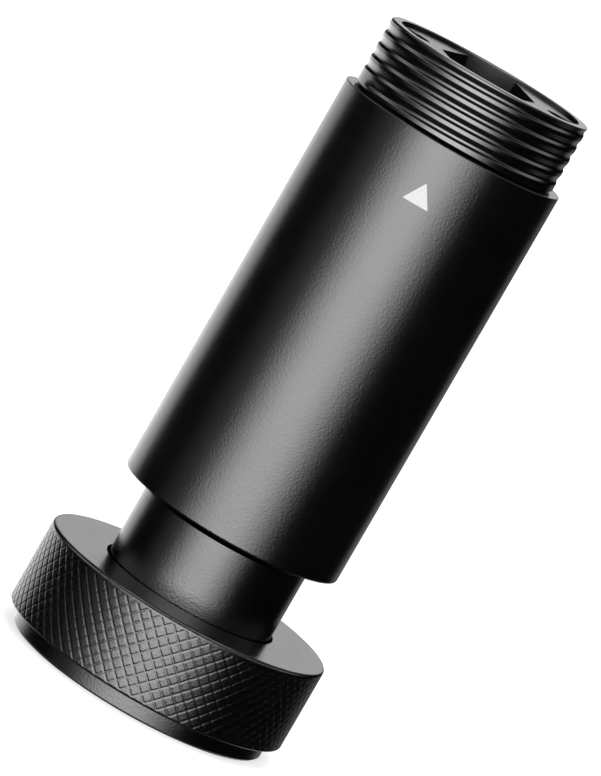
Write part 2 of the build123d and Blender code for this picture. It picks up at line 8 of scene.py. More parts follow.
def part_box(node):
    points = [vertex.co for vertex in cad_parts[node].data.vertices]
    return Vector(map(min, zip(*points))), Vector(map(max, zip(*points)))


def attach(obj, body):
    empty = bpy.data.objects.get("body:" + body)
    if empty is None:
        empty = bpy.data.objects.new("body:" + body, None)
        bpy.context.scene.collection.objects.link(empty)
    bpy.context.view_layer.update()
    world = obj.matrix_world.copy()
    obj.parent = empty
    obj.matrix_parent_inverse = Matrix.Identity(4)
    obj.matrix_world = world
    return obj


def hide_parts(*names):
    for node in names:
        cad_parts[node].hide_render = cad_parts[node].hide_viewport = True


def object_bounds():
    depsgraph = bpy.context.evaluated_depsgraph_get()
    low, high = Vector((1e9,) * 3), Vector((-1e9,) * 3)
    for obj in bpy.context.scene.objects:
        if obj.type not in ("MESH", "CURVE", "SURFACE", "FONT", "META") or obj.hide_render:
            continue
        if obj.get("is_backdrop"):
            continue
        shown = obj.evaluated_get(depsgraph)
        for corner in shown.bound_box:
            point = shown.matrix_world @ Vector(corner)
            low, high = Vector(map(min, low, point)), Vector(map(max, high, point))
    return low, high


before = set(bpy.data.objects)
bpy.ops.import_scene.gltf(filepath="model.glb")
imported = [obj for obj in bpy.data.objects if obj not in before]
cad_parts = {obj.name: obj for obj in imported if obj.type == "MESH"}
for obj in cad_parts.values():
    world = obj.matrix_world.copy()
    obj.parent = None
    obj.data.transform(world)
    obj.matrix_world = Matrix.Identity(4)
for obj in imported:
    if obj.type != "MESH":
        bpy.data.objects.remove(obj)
cad_low, cad_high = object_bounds()

# ---- Camera -------------------------------------------------------------------------------------
# A long lens, a little above the collimator and square to its index mark. The camera is rolled,
# so that the upright tube leans with its thread end to the upper right.

aim = Vector((-0.00134, 0, 0.0653))
camera_distance = 1.0675
camera_lift = radians(8.495)
camera_roll = radians(29.96)
lens_length = 263.18
film_width = 36

sight = Vector((0, cos(camera_lift), -sin(camera_lift)))
level = Vector((1, 0, 0))
upright = level.cross(sight)
camera_right = level * cos(camera_roll) + upright * sin(camera_roll)
camera_up = upright * cos(camera_roll) - level * sin(camera_roll)
camera = bpy.data.objects.new("camera", bpy.data.cameras.new("camera"))
camera.data.lens = lens_length
camera.data.sensor_width = film_width
camera.data.clip_start, camera.data.clip_end = 0.05, 50
turned = Matrix((camera_right, camera_up, -sight)).transposed().to_4x4()
camera.matrix_world = Matrix.Translation(aim - sight * camera_distance) @ turned
bpy.context.scene.collection.objects.link(camera)
bpy.context.scene.camera = camera
bpy.context.scene.view_settings.view_transform = "Standard"

# ---- Studio light -------------------------------------------------------------------------------
# Soft boxes in a dark room: a strong one in front, two on the left, one on the right, four behind,
# one overhead and a faint one below. They are worked out from a direction, so their edges fade
# evenly. Only gloss sees them: matt surfaces and the camera see an even white room instead.

world = bpy.data.worlds.new("studio")
bpy.context.scene.world = world
world.use_nodes = True
world.cycles.sampling_method = "NONE"
air = world.node_tree
air.nodes.clear()
backdrop_white = 1.0
even_light = 1.05
dark_room = 0.003


def air_node(kind, *sources, **settings):
    """A node of the studio's light, with its first inputs linked to sockets or set to numbers."""
    node = air.nodes.new(kind)
    for name, value in settings.items():
        setattr(node, name, value)
    for slot, source in zip(node.inputs, sources):
        if isinstance(source, bpy.types.NodeSocket):
            air.links.new(source, slot)
        else:
            slot.default_value = source
    return node.outputs[0]


def soft_step(distance, half, fade):
    """1 inside the half size and 0 outside it, along a smooth step as wide as the fade."""
    return air_node("ShaderNodeMapRange", distance, half + fade / 2, half - fade / 2, 0.0, 1.0,
                    interpolation_type="SMOOTHSTEP")


def soft_box(bearing, half_width, rise, half_height, fade_wide, fade_high, strength):
    """A soft-edged light: strength times a step across its bearing times a step across its rise."""
    around_it = air_node("ShaderNodeMath", air_bearing, bearing, operation="SUBTRACT")
    around_it = air_node("ShaderNodeMath", around_it, -pi, pi, operation="WRAP")
    above_it = air_node("ShaderNodeMath", air_rise, rise, operation="SUBTRACT")
    width = soft_step(air_node("ShaderNodeMath", around_it, operation="ABSOLUTE"), half_width, fade_wide)
    height = soft_step(air_node("ShaderNodeMath", above_it, operation="ABSOLUTE"), half_height, fade_high)
    shape = air_node("ShaderNodeMath", width, height, operation="MULTIPLY")
    return air_node("ShaderNodeMath", shape, strength, operation="MULTIPLY")


direction = air.nodes.new("ShaderNodeSeparateXYZ")
air.links.new(air.nodes.new("ShaderNodeTexCoord").outputs["Generated"], direction.inputs[0])
towards_front = air_node("ShaderNodeMath", direction.outputs["Y"], -1.0, operation="MULTIPLY")
air_bearing = air_node("ShaderNodeMath", direction.outputs["X"], towards_front, operation="ARCTAN2")
air_rise = air_node("ShaderNodeMath", direction.outputs["Z"], operation="ARCSINE")

boxes = (
    # in degrees: bearing, half width, rise, half height, fade across, fade up; then strength
    (-3, 30, -1, 18, 48, 14, 9.2),
    (-56, 14, -8, 14, 30, 20, 0.4),
    (-72, 40, 22, 13, 24, 10, 2.3),
    (-153, 27, -13, 9, 12, 10, 1.9),
    (168, 19, -14, 9, 12, 10, 0.3),
    (180, 66, -34, 11, 36, 14, 0.9),
    (-178, 16, 34, 30, 14, 4, 1.15),
    (78, 44, 26, 10, 24, 10, 1.5),
    (0, 200, 82, 20, 10, 12, 3.6),
    (0, 200, -80, 26, 10, 10, 0.3),
)
light = dark_room
for *angles, strength in boxes:
    light = air_node("ShaderNodeMath", soft_box(*map(radians, angles), strength), light, operation="ADD")

rays = air.nodes.new("ShaderNodeLightPath")
plain = air_node("ShaderNodeMath", rays.outputs["Is Diffuse Ray"], even_light, operation="MULTIPLY")
seen = air_node("ShaderNodeMath", rays.outputs["Is Camera Ray"], backdrop_white, operation="MULTIPLY")
through = air_node("ShaderNodeMath", rays.outputs["Is Glossy Ray"], light, operation="MULTIPLY")
total = air_node("ShaderNodeMath", plain, seen, operation="ADD")
total = air_node("ShaderNodeMath", total, through, operation="ADD")
background = air.nodes.new("ShaderNodeBackground")
background.inputs["Color"].default_value = (1, 1, 1, 1)
air.links.new(total, background.inputs["Strength"])
air.links.new(background.outputs[0], air.nodes.new("ShaderNodeOutputWorld").inputs["Surface"])

# ---- Table --------------------------------------------------------------------------------------
# A plain matt white table top. It glows a little, as a lit sweep does, gloss doesn't see it, and it
# is clear from below, so that the underside can be looked at.

table_half = 12.0
# Just under the collimator's flat foot, which would otherwise lie in the same plane.
table_level = -0.00002
table_white = 0.8
table_glow = 0.55
table_mesh = bpy.data.meshes.new("table")
table_corners = [(-table_half, -table_half, table_level), (table_half, -table_half, table_level),
                 (table_half, table_half, table_level), (-table_half, table_half, table_level)]
table_mesh.from_pydata(table_corners, [], [(0, 1, 2, 3)])
table = bpy.data.objects.new("table", table_mesh)
bpy.context.scene.collection.objects.link(table)
table_top = bpy.data.materials.new("matt_white_table")
table_top.use_nodes = True
shader = table_top.node_tree.nodes["Principled BSDF"]
shader.inputs["Base Color"].default_value = (table_white, table_white, table_white, 1)
shader.inputs["Roughness"].default_value = 0.95
shader.inputs["Specular IOR Level"].default_value = 0.0
shader.inputs["Emission Color"].default_value = (1, 1, 1, 1)
shader.inputs["Emission Strength"].default_value = table_glow
from_below = table_top.node_tree.nodes.new("ShaderNodeNewGeometry").outputs["Backfacing"]
clear = table_top.node_tree.nodes.new("ShaderNodeBsdfTransparent").outputs[0]
one_way = table_top.node_tree.nodes.new("ShaderNodeMixShader")
table_surface = table_top.node_tree.nodes["Material Output"].inputs["Surface"]
for source, socket in zip((from_below, shader.outputs[0], clear), one_way.inputs):
    table_top.node_tree.links.new(source, socket)
table_top.node_tree.links.new(one_way.outputs[0], table_surface)
table_mesh.materials.append(table_top)
table.visible_glossy = False
table.visible_shadow = False
table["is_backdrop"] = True

# ---- Barrel -------------------------------------------------------------------------------------
# The long tube: aluminium bar turned inside and out, with a coarse male thread cut on its front
# spigot, then bead blasted and anodised black. Two holes at the back take the adjusting screws.

same_place = 1e-7
on_surface = 1e-6
longest_guard = 0.00012


def round_corners(corners, steps=4):
    """A closed outline with each corner (radius, height, setback) replaced by a parabola.

    From one setback before the corner to one after it, point = (1-s)^2 A + 2s(1-s) C + s^2 B.
    Straight runs get a point close to each end, so that they shade as straight."""
    corners = np.array(corners, float)
    here, setback = corners[:, :2], corners[:, 2:]
    ahead = np.roll(here, -1, 0) - here
    ahead_length = np.linalg.norm(ahead, axis=1, keepdims=True)
    ahead = ahead / ahead_length
    behind = np.roll(ahead, 1, 0)
    start, finish = here - behind * setback, here + ahead * setback
    s = np.linspace(0, 1, steps + 1)[None, :, None]
    arcs = (1 - s) ** 2 * start[:, None] + 2 * s * (1 - s) * here[:, None] + s**2 * finish[:, None]
    free = ahead_length - setback - np.roll(setback, -1, 0)
    guard = np.minimum(free / 3, longest_guard)
    guards = np.stack([finish + ahead * guard, finish + ahead * (free - guard)], 1)
    points = np.concatenate([arcs, guards], 1).reshape(-1, 2)
    apart = np.linalg.norm(points - np.roll(points, 1, 0), axis=1) > same_place
    return points[apart]


def spin(outline, columns):
    """A grid of points: x = r cos a, y = r sin a, z = height, for each outline point and angle."""
    angle = np.linspace(0, 2 * pi, columns, endpoint=False) - pi / 2
    radius, height = outline[:, :1], outline[:, 1:]
    return np.stack([radius * np.cos(angle), radius * np.sin(angle), height + 0 * angle], 2)


def grid_faces(rows, columns, close_rows=True):
    """Four-cornered faces between neighbours of a grid, outwards when its rows run up the outside."""
    i = np.arange(rows if close_rows else rows - 1)[:, None]
    j = np.arange(columns)[None, :]
    up, on = (i + 1) % rows, (j + 1) % columns
    corners = [i * columns + j, i * columns + on, up * columns + on, up * columns + j]
    return np.stack(corners, -1).reshape(-1, 4)


def make_piece(name, points, faces, sharp=35):
    """An object of these points and faces, smooth but for edges that turn by more than sharp degrees."""
    mesh = bpy.data.meshes.new(name)
    mesh.from_pydata(np.asarray(points).reshape(-1, 3).tolist(), [], [list(map(int, f)) for f in faces])
    mesh.shade_smooth()
    mesh.set_sharp_from_angle(angle=radians(sharp))
    mesh.validate()
    piece = bpy.data.objects.new(name, mesh)
    bpy.context.scene.collection.objects.link(piece)
    return piece


def ring_piece(name, corners, columns=192):
    """A turned ring: the rounded outline spun about the axis, closed on itself."""
    grid = spin(round_corners(corners), columns)
    return make_piece(name, grid, grid_faces(*grid.shape[:2]))


def prism(outline, low, high, turn=None):
    """A straight bar of an (x, y) outline between two heights, moved by a matrix if one is given."""
    outline = np.array(outline, float)
    count = len(outline)
    flat = np.ones((count, 1))
    points = np.concatenate([np.hstack([outline, flat * low]), np.hstack([outline, flat * high])])
    if turn is not None:
        points = points @ np.array(turn.to_3x3()).T + np.array(turn.translation)
    around = np.arange(count)
    on = (around + 1) % count
    sides = np.stack([around, on, on + count, around + count], 1).tolist()
    return make_piece("cutter", points, [*sides, around[::-1].tolist(), (around + count).tolist()])


def circle(radius, centre=(0, 0), count=64):
    """Points round a circle, counter-clockwise."""
    angle = np.linspace(0, 2 * pi, count, endpoint=False)
    return np.stack([centre[0] + radius * np.cos(angle), centre[1] + radius * np.sin(angle)], 1)


def pointing_out(angle, height):
    """The matrix that lays a bar's length along a level line from the axis, at an angle round it."""
    out = Vector((cos(angle), sin(angle), 0))
    side = Vector((-sin(angle), cos(angle), 0))
    return Matrix.Translation((0, 0, height)) @ Matrix((side, Vector((0, 0, 1)), out)).transposed().to_4x4()


def cut_away(piece, *cutters, sharp=35):
    """The piece less each cutter, as one finished mesh with no modifier left on it."""
    for cutter in cutters:
        cut = piece.modifiers.new("cut", "BOOLEAN")
        cut.solver = "EXACT"
        cut.object = cutter
    graph = bpy.context.evaluated_depsgraph_get()
    mesh = bpy.data.meshes.new_from_object(piece.evaluated_get(graph))
    piece.modifiers.clear()
    piece.data = mesh
    mesh.materials.clear()
    mesh.shade_smooth()
    mesh.set_sharp_from_angle(angle=radians(sharp))
    for cutter in cutters:
        bpy.data.objects.remove(cutter)


barrel_foot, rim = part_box("barrel")[0].z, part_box("barrel")[1].z
barrel_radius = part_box("barrel")[1].x
thread_length = 0.014
shoulder = rim - thread_length
thread_radius = 0.021
bore_radius = 0.019
inner_bore_radius = 0.018
undercut_radius = 0.0203
undercut_width = 0.0006
rim_chamfer = 0.00022
edge_round = 0.0004
shoulder_round = 0.00018
above_shoulder = shoulder + edge_round / 4
neck_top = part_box("neck_tube")[1].z + 0.0004
insert_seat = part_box("front_insert")[0].z - 0.0005
barrel_columns = 288
thread_rows = 190

thread_pitch = 0.00253
thread_depth = 0.00026
root_width = 0.0004
lower_flank = 0.00048
upper_flank = 0.00095
flank_smear = 0.00002
root_at_front = 0.12287
runout_turns = -0.185
runout_length = 0.03


def thread_cut(bearing, height):
    """How deep the thread is: a trapezium in height, which climbs one pitch in each turn.

    bearing is in turns from the front, right-handed. The groove starts at its run-out. The mean of
    three depths, one smear apart, takes the sharpness off the trapezium's corners."""
    climb = (height - root_at_front) / thread_pitch - bearing
    turn = np.floor(climb + 0.5)
    offset = (climb - turn) * thread_pitch
    half = root_width / 2
    steps = [-half - lower_flank, -half, half, half + upper_flank]
    smear = flank_smear * np.array([-1, 0, 1])[:, None, None]
    depth = np.interp(offset + smear, steps, [0, 1, 1, 0]).mean(0)
    start = np.clip((turn + bearing - runout_turns) / runout_length, 0, 1)
    return thread_depth * depth * start


low_thread = shoulder + undercut_width
barrel_outline = round_corners([
    (bore_radius, barrel_foot, 0.0002),
    (barrel_radius, barrel_foot, edge_round),
    (barrel_radius, shoulder, shoulder_round),
    (undercut_radius, shoulder, 0.00005),
    (thread_radius, low_thread, 0.0001),
    (thread_radius, rim - rim_chamfer, 0.0001),
    (thread_radius - rim_chamfer, rim, 0.0001),
    (bore_radius, rim, 0.0002),
    (bore_radius, insert_seat, 0.00005),
    (inner_bore_radius, insert_seat, 0.0001),
    (inner_bore_radius, neck_top, 0.0001),
    (bore_radius, neck_top, 0.00005),
])
on_thread = np.flatnonzero(
    (np.abs(barrel_outline[:, 0] - thread_radius) < on_surface)
    & (barrel_outline[:, 1] > low_thread) & (barrel_outline[:, 1] < rim - rim_chamfer)
)
thread_heights = np.linspace(*barrel_outline[on_thread[[0, -1]], 1], thread_rows)
thread_outline = np.stack([np.full(thread_rows, thread_radius), thread_heights], 1)
barrel_outline = np.concatenate(
    [barrel_outline[: on_thread[0]], thread_outline, barrel_outline[on_thread[-1] + 1:]]
)
barrel_grid = spin(barrel_outline, barrel_columns)
bearing = np.linspace(0, 1, barrel_columns, endpoint=False)
bearing = (bearing + 0.5) % 1 - 0.5
cut = thread_cut(bearing[None, :], barrel_outline[:, 1:])
outside = (barrel_outline[:, :1] > undercut_radius - on_surface) & (barrel_outline[:, 1:] > above_shoulder)
flat_radius = np.hypot(barrel_grid[..., 0], barrel_grid[..., 1])
wanted = np.where(outside, np.minimum(flat_radius, thread_radius - cut), flat_radius)
barrel_grid[..., :2] *= (wanted / flat_radius)[..., None]
barrel = make_piece("barrel_shell", barrel_grid, grid_faces(*barrel_grid.shape[:2]))

adjuster_bore = 0.002
adjuster_bearings = (radians(45), radians(135))
# How far from the axis a cutter starts and ends, clear of the barrel's wall on both sides.
cutter_start, cutter_end = 0.015, 0.03
adjuster_level = (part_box("adjuster_1")[0].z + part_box("adjuster_1")[1].z) / 2
cut_away(barrel, *(
    prism(circle(adjuster_bore), cutter_start, cutter_end, pointing_out(angle, adjuster_level))
    for angle in adjuster_bearings
))


def finish_nodes(name):
    """A new material: its nodes, its links, its shader and the object's own coordinates."""
    material = bpy.data.materials.new(name)
    material.use_nodes = True
    nodes, links = material.node_tree.nodes, material.node_tree.links
    place = nodes.new("ShaderNodeTexCoord").outputs["Object"]
    return material, nodes, links, nodes["Principled BSDF"], place


def noise_field(nodes, links, place, scale, detail, stretch=None):
    """Fractal noise on the object, with grains 1/scale metres across, scaled along each axis if asked."""
    if stretch is not None:
        mapping = nodes.new("ShaderNodeMapping")
        mapping.inputs["Scale"].default_value = stretch
        links.new(place, mapping.inputs["Vector"])
        place = mapping.outputs[0]
    noise = nodes.new("ShaderNodeTexNoise")
    noise.inputs["Scale"].default_value = scale
    noise.inputs["Detail"].default_value = detail
    links.new(place, noise.inputs["Vector"])
    return noise.outputs["Fac"]


def between(nodes, links, field, low, high):
    """A value that runs from low to high as the field runs from 0.3 to 0.7."""
    spread = nodes.new("ShaderNodeMapRange")
    spread.inputs["From Min"].default_value, spread.inputs["From Max"].default_value = 0.3, 0.7
    spread.inputs["To Min"].default_value, spread.inputs["To Max"].default_value = low, high
    links.new(field, spread.inputs["Value"])
    return spread.outputs[0]


def two_tone(nodes, links, field, dark, light):
    """A colour that runs from dark to light as the field runs from 0.3 to 0.7."""
    ramp = nodes.new("ShaderNodeValToRGB")
    ramp.color_ramp.elements[0].position, ramp.color_ramp.elements[1].position = 0.3, 0.7
    ramp.color_ramp.elements[0].color = (*dark, 1)
    ramp.color_ramp.elements[1].color = (*light, 1)
    links.new(field, ramp.inputs["Fac"])
    return ramp.outputs["Color"]


def raise_grain(nodes, links, shader, field, height):
    """Bumps of this height, in metres, where the field is high."""
    bump = nodes.new("ShaderNodeBump")
    bump.inputs["Distance"].default_value = height
    links.new(field, bump.inputs["Height"])
    links.new(bump.outputs[0], shader.inputs["Normal"])


def black_anodised(name="black_anodised", smooth=0.215, rough=0.235, grain=0.00004, shine=1.52):
    """Bead-blasted aluminium, anodised black: a dark dyed film with a fine even grain."""
    material, nodes, links, shader, place = finish_nodes(name)
    cloud = noise_field(nodes, links, place, scale=160, detail=4)
    links.new(two_tone(nodes, links, cloud, (0.0006, 0.0006, 0.0006), (0.001, 0.001, 0.001)),
              shader.inputs["Base Color"])
    blast = noise_field(nodes, links, place, scale=2300, detail=3)
    links.new(between(nodes, links, cloud, smooth, rough), shader.inputs["Roughness"])
    raise_grain(nodes, links, shader, blast, grain)
    shader.inputs["IOR"].default_value = shine
    return material


anodised = black_anodised()
barrel.data.materials.append(anodised)
# The thread is cut after the blasting, so it is smoother and shinier than the tube.
barrel.data.materials.append(
    black_anodised("black_anodised_thread", smooth=0.19, rough=0.21, grain=0.000004, shine=1.64)
)
for face in barrel.data.polygons:
    face.material_index = int(face.center.z > above_shoulder)
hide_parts("barrel")
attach(barrel, "root")

# ---- Index mark ---------------------------------------------------------------------------------
# A white triangle that points to the thread end: white ink, pad printed in a thin film that
# follows the barrel's curve, with slightly soft corners.

mark_low, mark_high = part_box("index_triangle")
mark_half = (mark_high.x - mark_low.x) / 2
film_thickness = 0.000018
film_gap = 0.000002
mark_columns = 96
mark_rings = 14
innermost_ring = 0.02
edge_slope = 0.004
mark_outline = round_corners([
    (-mark_half, mark_low.z, 0.00012), (mark_half, mark_low.z, 0.00012), (0, mark_high.z, 0.00016),
])
mark_middle = np.array([0, mark_low.z + (mark_high.z - mark_low.z) / 3])
run = np.append(0, np.cumsum(np.linalg.norm(np.roll(mark_outline, -1, 0) - mark_outline, axis=1)))
closed = np.vstack([mark_outline, mark_outline[:1]])
even = np.linspace(0, run[-1], mark_columns, endpoint=False)
mark_outline = np.stack([np.interp(even, run, closed[:, k]) for k in (0, 1)], 1)
# Rings from the middle of the underside out to the edge, and back in over the top.
outwards = np.linspace(innermost_ring, 1, mark_rings)
shrink = np.concatenate([outwards, outwards[::-1] - edge_slope])[:, None, None]
lift = np.repeat([0, film_thickness], mark_rings)[:, None]
flat_mark = mark_middle + (mark_outline - mark_middle)[None] * shrink
mark_radius = barrel_radius + film_gap + lift + 0 * flat_mark[..., 0]
mark_turn = flat_mark[..., 0] / barrel_radius - pi / 2
mark_grid = np.stack(
    [mark_radius * np.cos(mark_turn), mark_radius * np.sin(mark_turn), flat_mark[..., 1]], 2
)
rows, columns = mark_grid.shape[:2]
mark_faces = grid_faces(rows, columns, close_rows=False).tolist()
first, last = np.arange(columns)[::-1], np.arange(columns) + (rows - 1) * columns
mark = make_piece("index_mark", mark_grid, [*mark_faces, first.tolist(), last.tolist()], sharp=60)


def white_ink():
    """Printed white ink: matt, with a faint dapple where the film is thinner."""
    material, nodes, links, shader, place = finish_nodes("white_ink")
    dapple = noise_field(nodes, links, place, scale=2600, detail=3)
    links.new(two_tone(nodes, links, dapple, (0.64, 0.64, 0.64), (0.72, 0.72, 0.72)),
              shader.inputs["Base Color"])
    links.new(between(nodes, links, dapple, 0.5, 0.62), shader.inputs["Roughness"])
    raise_grain(nodes, links, shader, dapple, 0.000003)
    shader.inputs["Specular IOR Level"].default_value = 0.25
    return material


mark.data.materials.append(white_ink())
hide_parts("index_triangle")
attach(mark, "root")

# ---- Front insert -------------------------------------------------------------------------------
# The plate recessed in the thread end: a turned disc with a stretched hexagonal pocket milled
# across it, two blind holes for a pin spanner, and the seat of the exit window in the middle.

insert_low, insert_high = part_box("front_insert")[0].z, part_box("front_insert")[1].z
insert_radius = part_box("front_insert")[1].x
exit_radius = 0.0045
window_radius = 0.00605
window_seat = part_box("window_seal")[0].z
pocket_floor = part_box("window_ring")[1].z
pocket_half = 0.01005
pocket_end_half = 0.00485
spanner_centre = 0.01565
spanner_radius = 0.003
spanner_depth = 0.0045
insert_edge = 0.00012
overshoot = 0.001
insert = ring_piece("insert_plate", [
    (exit_radius, insert_low, 0.0002),
    (insert_radius, insert_low, 0.0002),
    (insert_radius, insert_high, 0.0003),
    (exit_radius, insert_high, 0.0003),
])
reach = insert_radius + overshoot
pocket = [(pocket_half, 0), (pocket_end_half, insert_radius), (pocket_end_half, reach),
          (-pocket_end_half, reach), (-pocket_end_half, insert_radius), (-pocket_half, 0),
          (-pocket_end_half, -insert_radius), (-pocket_end_half, -reach),
          (pocket_end_half, -reach), (pocket_end_half, -insert_radius)]
above = insert_high + overshoot
cut_away(
    insert,
    prism(pocket, pocket_floor, above),
    prism(circle(window_radius, count=96), window_seat, above),
    *(prism(circle(spanner_radius, (side * spanner_centre, 0)), insert_high - spanner_depth, above)
      for side in (-1, 1)),
    sharp=20,
)
insert_edges = insert.modifiers.new("broken_edges", "BEVEL")
insert_edges.width = insert_edge
insert_edges.segments = 2
insert_edges.limit_method = "ANGLE"
insert_edges.angle_limit = radians(40)
insert.data.materials.append(anodised)
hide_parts("front_insert")
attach(insert, "root")

# ---- Knob grip ----------------------------------------------------------------------------------
# The brightness knob's outer ring: turned aluminium with a diamond knurl rolled round its rim,
# hollow underneath for the switch, and anodised black like the barrel.

knob_low, knob_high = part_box("knob_grip")[0].z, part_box("knob_grip")[1].z
knob_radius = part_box("knob_grip")[1].x
knob_bore = 0.0179
knob_top_wall = 0.003
cavity_radius = 0.023
plate_bore = 0.0272
plate_high = knob_low + 0.0035
knurl_count = 70
knurl_parts = 10
knurl_rows = 60
knurl_depth = 0.00011
knurl_low = knob_low + 0.0003
knurl_high = knob_high - 0.00085
knob_top_round = 0.0008
knob_corners = round_corners([
    (plate_bore, knob_low, 0.0002),
    (knob_radius, knob_low, 0.0003),
    (knob_radius, knob_high, knob_top_round),
    (knob_bore, knob_high, 0.0003),
    (knob_bore, knob_high - knob_top_wall, 0.0001),
    (cavity_radius, knob_high - knob_top_wall, 0.0001),
    (cavity_radius, plate_high, 0.0001),
    (plate_bore, plate_high, 0.0001),
], steps=5)
on_rim = np.flatnonzero(np.abs(knob_corners[:, 0] - knob_radius) < same_place)
knurl_heights = np.linspace(knurl_low, knurl_high, knurl_rows + 1)
knurl_outline = np.stack([np.full(knurl_rows + 1, knob_radius), knurl_heights], 1)
knob_outline = np.concatenate(
    [knob_corners[: on_rim[0]], knurl_outline, knob_corners[on_rim[-1]:]]
)
knob_columns = knurl_count * knurl_parts
knob_grid = spin(knob_outline, knob_columns)
row, column = np.arange(knurl_rows + 1)[:, None], np.arange(knob_columns)[None, :]
rising, falling = (row + column) % knurl_parts, (row - column) % knurl_parts
# A V-shaped groove along every line where a count comes to nothing: a point on the line is a
# groove's depth down, and the next point is back on the rim. The top row stays on the rim.
on_groove = ((rising == 0) | (falling == 0)) & (row < knurl_rows)
knurl_slice = slice(on_rim[0], on_rim[0] + knurl_rows + 1)
rim_radius = knob_radius - knurl_depth * on_groove
knob_grid[knurl_slice, :, :2] *= (rim_radius / knob_radius)[..., None]
# Each face of the knurl is split in two along the groove beside it, so that no ridge crosses one.
knob_faces = grid_faces(*knob_grid.shape[:2]).reshape(len(knob_outline), knob_columns, 4)
band = knob_faces[on_rim[0]:on_rim[0] + knurl_rows]
beside_rising = np.isin(rising[:-1], (knurl_parts - 2, knurl_parts - 1, 0))
split_down = (beside_rising & (falling[:-1] != 0))[..., None]
first_half = np.where(split_down, band[..., [0, 1, 3]], band[..., [0, 1, 2]])
second_half = np.where(split_down, band[..., [1, 2, 3]], band[..., [0, 2, 3]])
rest = np.concatenate([knob_faces[: on_rim[0]], knob_faces[on_rim[0] + knurl_rows:]]).reshape(-1, 4)
knob_triangles = np.concatenate([first_half, second_half]).reshape(-1, 3)
knob = make_piece("knob_ring", knob_grid, [*rest.tolist(), *knob_triangles.tolist()], sharp=70)
knob.data.materials.append(anodised)
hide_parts("knob_grip")
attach(knob, "knob")

# ---- Neck tube and battery cover ----------------------------------------------------------------
# The neck is turned with the stem that carries the knob. The cover below it screws into the stem,
# and a coin turns it. Both are aluminium, bead blasted and anodised black with the barrel.


def dress(material, *names):
    """Gives the CAD pieces of these names this material in every slot."""
    for name in names:
        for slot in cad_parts[name].material_slots:
            slot.material = material


dress(anodised, "neck_tube", "battery_cover")

# ---- Rings round the laser module ---------------------------------------------------------------
# Three turned rings inside the tube: one screws down the exit window, two hold the laser module.
# They are anodised black too, and left smoother than the outside.

anodised_inside = black_anodised("black_anodised_inside", smooth=0.3, rough=0.36, grain=0.000006)
dress(anodised_inside, "window_ring", "front_ring", "rear_ring")

# ---- Seals --------------------------------------------------------------------------------------
# Black nitrile rubber: O-rings, flat washers and the module's pivot ring, moulded and left as
# they come, with a faint mottle and a soft sheen.


def mottled(name, dark, light, smooth, rough, scale, grain, metallic=0.0, stretch=None):
    """A material whose colour, gloss and height all follow one noise field."""
    material, nodes, links, shader, place = finish_nodes(name)
    field = noise_field(nodes, links, place, scale, detail=3, stretch=stretch)
    links.new(two_tone(nodes, links, field, dark, light), shader.inputs["Base Color"])
    links.new(between(nodes, links, field, smooth, rough), shader.inputs["Roughness"])
    raise_grain(nodes, links, shader, field, grain)
    shader.inputs["Metallic"].default_value = metallic
    return material


rubber = mottled("black_rubber", (0.008, 0.008, 0.008), (0.016, 0.016, 0.016),
                 smooth=0.5, rough=0.66, scale=1200, grain=0.000008)
dress(rubber, "insert_seal", "window_seal", "pivot_ring", "module_grommet", "neck_seal", "cover_seal")

# ---- Window and lens ----------------------------------------------------------------------------
# Polished glass: a flat window that closes the pocket, and the small lens that makes the beam
# parallel. A thin coating tints their reflection.


def coated_glass():
    """Clear glass with a faintly coloured reflection and the least haze on its face."""
    material, nodes, links, shader, place = finish_nodes("optical_glass")
    haze = noise_field(nodes, links, place, scale=300, detail=2)
    links.new(two_tone(nodes, links, haze, (0.86, 0.93, 0.96), (0.9, 0.96, 0.98)),
              shader.inputs["Base Color"])
    links.new(between(nodes, links, haze, 0.015, 0.04), shader.inputs["Roughness"])
    shader.inputs["Transmission Weight"].default_value = 1.0
    shader.inputs["Specular Tint"].default_value = (0.75, 0.7, 1.0, 1)
    return material


dress(coated_glass(), "exit_window", "collimating_lens")

# ---- Laser module and cell contacts -------------------------------------------------------------
# Brass turned on a lathe: the module's tube, the cell that carries its lens, and the two discs
# that touch the battery. Fine tool marks run round them.

lathe_marks = (0.02, 0.02, 1.0)
brass = mottled("brass", (0.5, 0.32, 0.1), (0.66, 0.46, 0.17),
                smooth=0.24, rough=0.36, scale=5000, grain=0.000003, metallic=1.0, stretch=lathe_marks)
dress(brass, "module_housing", "lens_cell", "positive_contact", "cover_contact")

# ---- Plain aluminium ----------------------------------------------------------------------------
# The knob's base plate, which four screws hold in its underside, and the laser diode's holder.
# Both are turned and left bare.

aluminium = mottled("plain_aluminium", (0.5, 0.5, 0.51), (0.66, 0.66, 0.67),
                    smooth=0.26, rough=0.38, scale=4000, grain=0.000003, metallic=1.0, stretch=lathe_marks)
dress(aluminium, "knob_base", "diode_holder")

# ---- Laser diode and wipers ---------------------------------------------------------------------
# Thin gold plating on pressed metal: the diode's can and leads, and the switch's wiper springs.

gold = mottled("gold_plate", (0.7, 0.47, 0.15), (0.86, 0.62, 0.25),
               smooth=0.16, rough=0.26, scale=900, grain=0.000001, metallic=1.0)
dress(gold, "laser_diode", "wiper_contacts")

# ---- Steel pins, clips and ball -----------------------------------------------------------------
# Bright steel: the detent ball, the plunger behind the module, the knob's stop pin, its retaining
# ring and the clips that hold the switch board.

steel = mottled("spring_steel", (0.42, 0.42, 0.43), (0.58, 0.58, 0.59),
                smooth=0.18, rough=0.3, scale=1600, grain=0.000002, metallic=1.0)
dress(steel, "detent_ball", "plunger", "stop_pin", "retaining_ring", "board_clips")

# ---- Springs ------------------------------------------------------------------------------------
# Four compression springs wound from round steel wire, each with its end turns closed: behind the
# lens, under the cell, behind the module's plunger and behind the detent ball.

coil_steps = 48
wire_sides = 12
end_climb = 1.1


